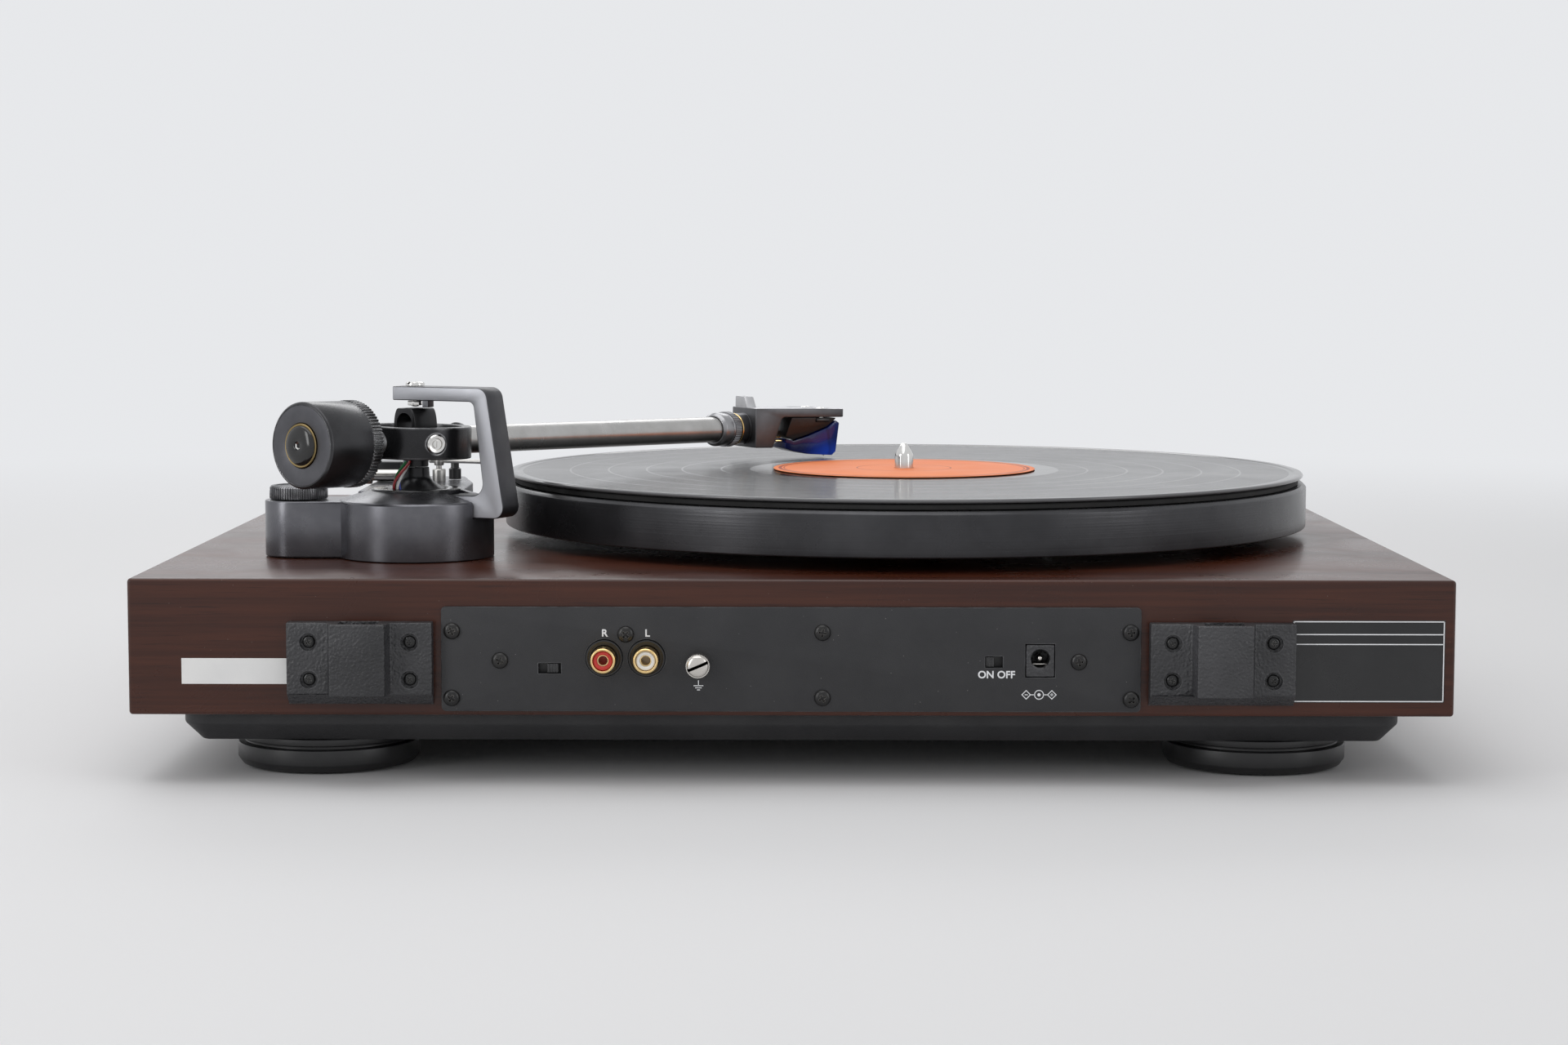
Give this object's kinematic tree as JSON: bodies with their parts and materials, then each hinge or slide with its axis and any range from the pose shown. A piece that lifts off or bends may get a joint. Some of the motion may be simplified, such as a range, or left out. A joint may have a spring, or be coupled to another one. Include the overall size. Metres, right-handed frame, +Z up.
{
  "type": "direct drive turntable",
  "caption": "Direct drive turntable on a wooden plinth, with a gimballed straight tonearm, an offset headshell, hinge brackets and a rear socket panel.",
  "frame": {"origin": "on the surface the feet stand on, midway between the sides and midway between the front edge and the rearmost face of the hinge brackets", "axes": "+X to the right seen from the front, the tonearm's side; +Y to the rear, the sockets' side; +Z up"},
  "size_m": [0.435, 0.361, 0.1299],
  "materials": {
    "walnut_veneer": "dark reddish walnut veneer under gloss lacquer",
    "tray_plastic": "matt dark grey moulding",
    "foot_plastic": "satin black moulding",
    "pad_rubber": "black rubber",
    "circuit_board": "green solder mask",
    "panel_paint": "fine-textured black powder coat",
    "bracket_plastic": "coarse-textured black",
    "black_plastic": "satin black",
    "gold_plate": "gold plating",
    "white_insert": "off-white moulding",
    "red_insert": "red moulding",
    "nickel": "satin nickel plating",
    "steel": "zinc-plated steel",
    "bearing_bronze": "sintered bronze",
    "copper_winding": "enamelled copper on a laminated iron core",
    "ferrite": "matt sintered magnet",
    "black_anodised": "black anodised",
    "mat_rubber": "matt black rubber",
    "vinyl": "grooved black vinyl",
    "label_paper": "orange printed paper, bare of text",
    "polished_steel": "polished steel",
    "anthracite_casting": "satin anthracite",
    "blasted_grey": "bead-blasted light grey",
    "satin_titanium": "satin titanium grey",
    "headshell_metal": "satin dark grey",
    "blue_resin": "translucent blue moulding",
    "knurled_grey": "knurled satin grey",
    "weight_metal": "black coated steel",
    "wire_lacquer": "fine insulated wires, one bundle"
  },
  "bodies": {
    "chassis": {"plinth": "walnut_veneer", "bottom_tray": "tray_plastic", "foot_front_left": "foot_plastic", "foot_front_right": "foot_plastic", "foot_rear_left": "foot_plastic", "foot_rear_right": "foot_plastic", "foot_pad_front_left": "pad_rubber", "foot_pad_front_right": "pad_rubber", "foot_pad_rear_left": "pad_rubber", "foot_pad_rear_right": "pad_rubber", "main_board": "circuit_board", "rear_panel": "panel_paint", "hinge_bracket_left": "bracket_plastic", "hinge_bracket_right": "bracket_plastic", "rca_jack_block": "black_plastic", "rca_barrel_left": "gold_plate", "rca_barrel_right": "gold_plate", "rca_insert_left": "white_insert", "rca_insert_right": "red_insert", "dc_jack": "black_plastic", "phono_line_switch": "black_plastic", "auto_stop_switch": "black_plastic", "ground_post": "black_plastic", "motor_base": "steel", "bearing_bush": "bearing_bronze", "motor_stator": "copper_winding", "tonearm_base": "anthracite_casting", "bearing_pillar": "black_anodised", "bearing_yoke": "blasted_grey", "upper_pivot_screw": "polished_steel", "lift_housing": "black_plastic", "arm_rest": "black_plastic"},
    "turning_platter": {"platter": "black_anodised", "spindle": "polished_steel", "rotor_magnet": "ferrite", "platter_mat": "mat_rubber", "record": "vinyl", "record_label": "label_paper"},
    "arm_yaw": {"gimbal_block": "black_anodised", "signal_wires": "wire_lacquer"},
    "arm_tilt": {"gimbal_ring": "black_anodised", "bearing_screw_front": "polished_steel", "bearing_screw_rear": "polished_steel", "arm_tube": "satin_titanium", "counterweight_shaft": "steel", "headshell": "headshell_metal", "cartridge_body": "black_plastic", "stylus_unit": "blue_resin"},
    "weight_carriage": {"counterweight_bush": "black_plastic"},
    "turning_weight": {"counterweight": "weight_metal"},
    "turning_force_ring": {"force_ring": "weight_metal"},
    "turning_collar": {"headshell_collar": "knurled_grey"},
    "lever": {"cue_lever": "nickel"},
    "lift": {"lift_bar": "nickel"},
    "skate_dial": {"anti_skate_dial": "knurled_grey"},
    "knob": {"speed_knob": "black_anodised"},
    "phono_slide": {"phono_line_slider": "black_plastic"},
    "stop_slide": {"auto_stop_slider": "black_plastic"},
    "washer": {"ground_washer": "nickel"},
    "thumbscrew": {"ground_thumbscrew": "nickel"}
  },
  "joints": [
    {"name": "platter_spin", "type": "hinge", "parent": "chassis", "child": "turning_platter", "pos_m": [-0.043, -0.0025, 0.0892], "axis": [0, 0, 1], "continuous": true},
    {"name": "tonearm_swing", "type": "hinge", "parent": "chassis", "child": "arm_yaw", "pos_m": [0.132, 0.0935, 0.109], "axis": [0, 0, 1], "range_deg": [-7, 29.4], "deforming": ["signal_wires"]},
    {"name": "tonearm_tilt", "type": "hinge", "parent": "arm_yaw", "child": "arm_tilt", "pos_m": [0.132, 0.0935, 0.109], "axis": [-0.4787, 0.878, 0], "range_deg": [0, 8]},
    {"name": "counterweight_travel", "type": "slide", "parent": "arm_tilt", "child": "weight_carriage", "axis": [0.6072, 0.7943, 0.0198], "range_m": [-0.0035, 0.006]},
    {"name": "counterweight_turn", "type": "hinge", "parent": "weight_carriage", "child": "turning_weight", "pos_m": [0.157, 0.1262, 0.10981], "axis": [0.6072, 0.7943, 0.0198], "range_deg": [-630, 1080]},
    {"name": "force_ring_turn", "type": "hinge", "parent": "weight_carriage", "child": "turning_force_ring", "pos_m": [0.157, 0.1262, 0.10981], "axis": [0.6072, 0.7943, 0.0198], "range_deg": [-180, 180]},
    {"name": "headshell_collar_turn", "type": "hinge", "parent": "arm_tilt", "child": "turning_collar", "pos_m": [0.02787, -0.04272, 0.10561], "axis": [-0.6072, -0.7943, -0.0198], "range_deg": [0, 90]},
    {"name": "cue_lever_turn", "type": "hinge", "parent": "chassis", "child": "lever", "pos_m": [0.142, 0.0549, 0.0943], "axis": [-1, 0, 0], "range_deg": [0, 60]},
    {"name": "cue_lift_travel", "type": "slide", "parent": "chassis", "child": "lift", "axis": [0, 0, 1], "range_m": [0, 0.0027]},
    {"name": "anti_skate_turn", "type": "hinge", "parent": "chassis", "child": "skate_dial", "pos_m": [0.1735, 0.0925, 0.0912], "axis": [0, 0, 1], "range_deg": [-70, 175]},
    {"name": "speed_knob_turn", "type": "hinge", "parent": "chassis", "child": "knob", "pos_m": [-0.19, -0.1405, 0.0755], "axis": [0, 0, 1], "range_deg": [-50, 50]},
    {"name": "phono_switch_travel", "type": "slide", "parent": "chassis", "child": "phono_slide", "axis": [1, 0, 0], "range_m": [0, 0.002]},
    {"name": "auto_stop_switch_travel", "type": "slide", "parent": "chassis", "child": "stop_slide", "axis": [-1, 0, 0], "range_m": [0, 0.0024]},
    {"name": "ground_washer_travel", "type": "slide", "parent": "chassis", "child": "washer", "axis": [0, 1, 0], "range_m": [0, 0.0025]},
    {"name": "ground_screw_turn", "type": "hinge", "parent": "washer", "child": "thumbscrew", "pos_m": [0.03035, 0.175, 0.04094], "axis": [0, 1, 0], "range_deg": [0, 1286]}
  ],
  "couplings": [
    {"joint": "counterweight_turn", "follows": "counterweight_travel", "rad_per_m": 3141.6},
    {"joint": "cue_lift_travel", "follows": "cue_lever_turn", "m_per_rad": 0.0025},
    {"joint": "ground_screw_turn", "follows": "ground_washer_travel", "rad_per_m": 8976}
  ]
}
